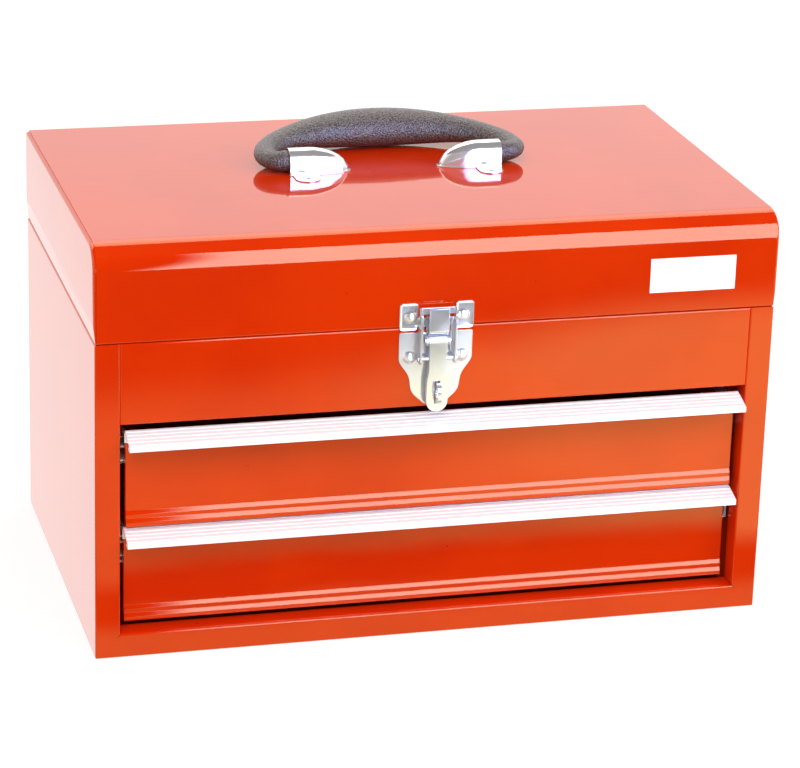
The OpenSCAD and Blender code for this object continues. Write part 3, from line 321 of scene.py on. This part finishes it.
def smooth_curves(shape, angle):
    """Smooth faces, with the edges sharp where they turn by more than the angle."""
    for face in shape.faces:
        face.smooth = True
    for edge in shape.edges:
        edge.smooth = len(edge.link_faces) == 2 and edge.calc_face_angle(math.pi) < math.radians(angle)


def ease_edges(piece, width, angle):
    """Rounds the edges that turn by more than the angle."""
    bevel = piece.modifiers.new("eased_edges", "BEVEL")
    bevel.width = width * MM
    bevel.segments = 2
    bevel.limit_method = "ANGLE"
    bevel.angle_limit = math.radians(angle)


def flatten_faces(piece):
    """Turns the normals of flat faces square to them, so that only folds and rounds shade."""
    weighted = piece.modifiers.new("flat_faces", "WEIGHTED_NORMAL")
    weighted.keep_sharp = True
    weighted.weight = 100


def stamp_rim(shape, front, rim=0.9, slope=0.6, depth=0.3):
    """Sinks the face whose y is front, in mm, so that a raised rim is left along its edges."""
    reach = 0.01 * MM
    forward = [face for face in shape.faces if face.normal.y < -0.999]
    faces = [face for face in forward if abs(face.calc_center_median().y - front * MM) < reach]
    for width, sink in ((rim, 0.0), (slope, -depth)):
        bmesh.ops.inset_region(
            shape, faces=faces, thickness=width * MM, depth=sink * MM,
            use_boundary=True, use_even_offset=True)


def refined(node, edge, angle):
    """A node's shape with its doubles merged, its curves smooth and its edges eased."""
    shape = bmesh.new()
    shape.from_mesh(frame["nodes"][node].data)
    bmesh.ops.remove_doubles(shape, verts=shape.verts, dist=DOUBLES)
    bmesh.ops.dissolve_limit(
        shape, angle_limit=math.radians(FLAT_TURN), verts=shape.verts, edges=shape.edges, delimit={"NORMAL"})
    if node in STAMPED:
        stamp_rim(shape, STAMPED[node])
    smooth_curves(shape, angle)
    piece = finish_piece(node, shape)
    if edge:
        ease_edges(piece, edge, angle)
    flatten_faces(piece)


# ---------------------------------------------------------------- stage


def seen(finish):
    """1 for rays from the camera and for those that mirror or pass through a surface."""
    path = finish.node("ShaderNodeLightPath")
    rays = ("Is Camera Ray", "Is Glossy Ray", "Is Transmission Ray")
    return [Value(finish, path.outputs[name]) for name in rays]


def painted_floor_glow(finish):
    """Painted light that polished faces see in the floor in place of a room: pale all round, deeper and
    cloudy in front.
    """
    at = finish.node("ShaderNodeSeparateXYZ", None, {0: finish.place()})
    x = Value(finish, at.outputs["X"])
    y = Value(finish, at.outputs["Y"])
    drift = finish.noise(7, 2) - 0.5
    away = (0 - y) + FRONT_Y + drift * 0.05
    right = (x + drift * 0.15).ramp(-0.05, 0.35)
    haze = away.ramp(0.085, 0.13) * (1 - (away - right * 0.12).ramp(0.36, 0.5))
    near = 1 - away.ramp(0.02, 0.06)
    # Painted light: how strongly the floor glows to mirrors, a cloudy haze in front of the box and a pale
    # strip right at it
    painted_glow = (haze * (0.45 + right * 0.75) + near * 0.5).math("MINIMUM", 1.0)
    front = finish.blend(painted_glow, (0.04, 0.04, 0.04), (2.5, 2.45, 1.75))
    before = (0 - y).ramp(0.11, 0.13) * (1 - (0 - y).ramp(-CARD_Y - 0.005, -CARD_Y + 0.005))
    return finish.blend(before, (1.5, 1.5, 1.5), front)


def pale_floor():
    """Matt and pale, nearly white to the camera, and glowing with painted light where polished faces see it.
    """
    material = bpy.data.materials.new("pale_floor")
    material.use_nodes = True
    ground = Finish(material.node_tree, None, "ShaderNodeOutputMaterial")
    camera, glossy, through = seen(ground)
    matt = ground.node("ShaderNodeBsdfDiffuse", None, {"Color": (0.7, 0.7, 0.7, 1)})
    soft = ground.node("ShaderNodeBsdfDiffuse", None, {"Color": (0.42, 0.42, 0.42, 1)})
    white = ground.node("ShaderNodeEmission", None, {"Strength": 0.7})
    in_view = ground.node("ShaderNodeAddShader", None, {0: soft.outputs[0], 1: white.outputs[0]})
    # Mirror rays see the floor only as painted light, an emission laid out across it
    mirrored = ground.node("ShaderNodeEmission", None, {"Color": painted_floor_glow(ground)})
    first = ground.node(
        "ShaderNodeMixShader", None, {0: camera.larger(through), 1: matt.outputs[0], 2: in_view.outputs[0]})
    last = ground.node("ShaderNodeMixShader", None, {0: glossy, 1: first.outputs[0], 2: mirrored.outputs[0]})
    ground.link(last.outputs[0], ground.output.inputs["Surface"])
    return material


def lay_floor():
    """The floor, just below the box so that the two don't share a plane."""
    shape = bmesh.new()
    bmesh.ops.create_grid(
        shape, x_segments=1, y_segments=1, size=20, matrix=Matrix.Translation((0, 0, -FLOOR_DROP)))
    place_mesh("floor", shape, pale_floor())


def card_light(strength):
    """A cool light that fades in from the card's left edge, which leans right."""
    material = bpy.data.materials.new("card_light")
    material.use_nodes = True
    light = Finish(material.node_tree, "ShaderNodeEmission", "ShaderNodeOutputMaterial")
    at = light.node("ShaderNodeSeparateXYZ", None, {0: light.place()})
    along = Value(light, at.outputs["X"]) - Value(light, at.outputs["Z"]) * 0.1
    light.set(Color=(0.8, 1.0, 1.8, 1), Strength=along.ramp(-0.05, 0.0) * strength)
    return material


def stand_card(left, right, height, strength):
    """A lit card in front of the box that only polished faces show."""
    middle = Matrix.Translation(((left + right) / 2, CARD_Y, height / 2))
    stretch = Matrix.Diagonal((right - left, 1, height, 1))
    upright = Matrix.Rotation(math.pi / 2, 4, "X")
    shape = bmesh.new()
    bmesh.ops.create_grid(
        shape, x_segments=1, y_segments=1, size=0.5, matrix=middle @ stretch @ upright)
    card = place_mesh("front_card", shape, card_light(strength))
    for sense in ("camera", "diffuse", "shadow", "transmission"):
        setattr(card, "visible_" + sense, False)


def fill_world():
    """Even light all round, which polished faces see as a room: dark high up in front, pale behind."""
    world = bpy.data.worlds.new("studio")
    bpy.context.scene.world = world
    world.use_nodes = True
    sky = Finish(world.node_tree, "ShaderNodeBackground", "ShaderNodeOutputWorld")
    camera, glossy, through = seen(sky)
    way = sky.node("ShaderNodeSeparateXYZ", None, {0: sky.node("ShaderNodeTexCoord").outputs["Generated"]})
    y = Value(sky, way.outputs["Y"])
    z = Value(sky, way.outputs["Z"])
    low = 1 - z.ramp(0.58, 0.66)
    behind = y.ramp(-0.75, -0.1)
    over = y.ramp(0.26, 0.33) * (z.ramp(0.35, 0.8) * 3.2 + (1 - low) * 1.8)
    mirrored = 0.10 + low * (0.33 + behind * 1.5) + over
    open_air = 1 - glossy
    sky.set(Strength=glossy * mirrored + open_air * camera.larger(through).ramp(0, 1, 0.92, 1.0))


def hang_lamp(name, place, size, power):
    """A soft lamp, turned to the box, that polished faces don't show."""
    lamp = bpy.data.lights.new(name, "AREA")
    lamp.shape = "DISK"
    lamp.size = size
    lamp.energy = power
    holder = bpy.data.objects.new(name, lamp)
    holder.location = place
    aim = Vector((0, 0, 0.12)) - Vector(place)
    holder.rotation_euler = aim.to_track_quat("-Z", "Y").to_euler()
    holder.visible_glossy = False
    bpy.context.scene.collection.objects.link(holder)


def place_camera():
    camera = bpy.data.cameras.new("camera")
    camera.lens = 148.13
    camera.sensor_width = 36
    camera.clip_end = 50
    holder = bpy.data.objects.new("camera", camera)
    holder.location = (-0.50083, -1.85802, 0.81250)
    holder.rotation_euler = Euler([math.radians(a) for a in (70.033, -1.664, -14.745)], "XYZ")
    bpy.context.scene.collection.objects.link(holder)
    bpy.context.scene.camera = holder


# ---------------------------------------------------------------- the scene

bpy.context.scene.view_settings.view_transform = "Standard"

# The y, in mm, of the faces that are pressed in, which leaves a raised rim
STAMPED = {"latch_keeper": -126.0}

# How wide each piece's edges are eased, in mm. Nodes that aren't named here keep their shape
EASED = {
    "cabinet_wrap": 0.15, "upper_front_panel": 0.15, "lid_shell": 0.15, "lid_left_end": 0.15,
    "lid_right_end": 0.15, "upper_drawer_front": 0.2, "lower_drawer_front": 0.2,
    "upper_drawer_pull": 0.12, "lower_drawer_pull": 0.12, "back_panel": 0.15,
    "latch_base_plate": 0.25, "latch_keeper": 0.25, "latch_lever": 0.3, "latch_bail": 0.25,
    "latch_base_rivets": 0, "keeper_rivets": 0, "handle_cap_rivets": 0, "lever_pin": 0.15, "bail_pin": 0.15,
    "left_handle_cap": 0.15, "right_handle_cap": 0.15, "handle_grip": 0, "name_label": 0.08,
}

# Pieces whose shallow folds are drawn smooth
COARSE = [
    "lid_left_end", "lid_right_end", "left_handle_cap", "right_handle_cap", "handle_grip",
    "latch_base_plate", "latch_keeper",
]
FINE_TURN = 14
COARSE_TURN = 38

for node, thing in frame["nodes"].items():
    if node in EASED:
        refined(node, EASED[node], COARSE_TURN if node in COARSE else FINE_TURN)
    else:
        thing.data.materials.clear()
        thing.data.materials.append(FINISHES[slot_of(node)])

lay_floor()
stand_card(left=-0.1, right=1.8, height=1.16, strength=9.0)
fill_world()
hang_lamp("key_lamp", (-0.8, -1.9, 1.9), 1.4, 27)
hang_lamp("fill_lamp", (1.6, -1.2, 1.4), 1.4, 12)
place_camera()
